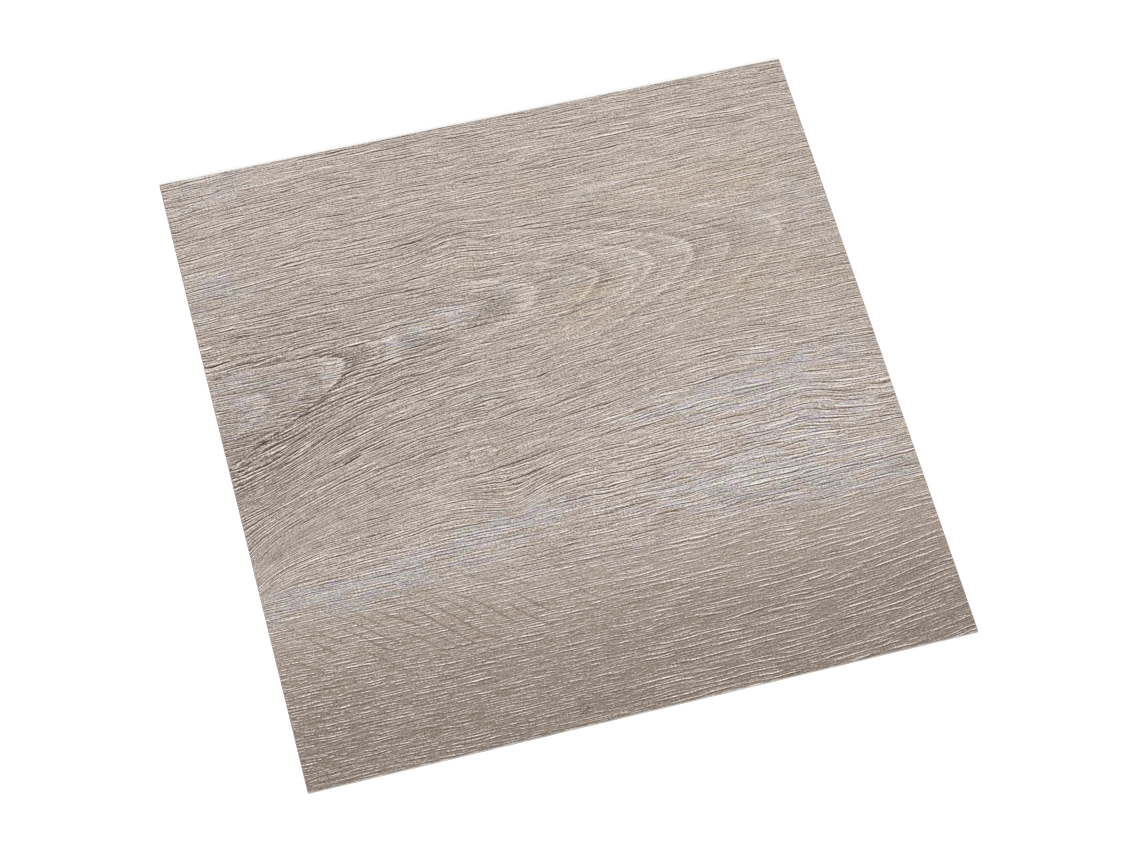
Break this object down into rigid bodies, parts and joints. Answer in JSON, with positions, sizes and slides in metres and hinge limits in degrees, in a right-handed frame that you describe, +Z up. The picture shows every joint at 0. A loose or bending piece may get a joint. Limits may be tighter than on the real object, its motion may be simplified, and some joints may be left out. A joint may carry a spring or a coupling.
{
  "type": "vinyl floor tile",
  "caption": "Square flat vinyl floor tile with an embossed grey-beige oak grain face, glued down and butted to its neighbours to cover a floor.",
  "frame": {"origin": "centre of the glued underside, on the plane of the subfloor", "axes": "+X along the printed grain, +Y across the grain, +Z up out of the wear face"},
  "size_m": [0.305, 0.305, 0.0015],
  "materials": {
    "embossed_vinyl": "satin"
  },
  "bodies": {
    "root": {"vinyl_tile": "embossed_vinyl"}
  },
  "joints": []
}
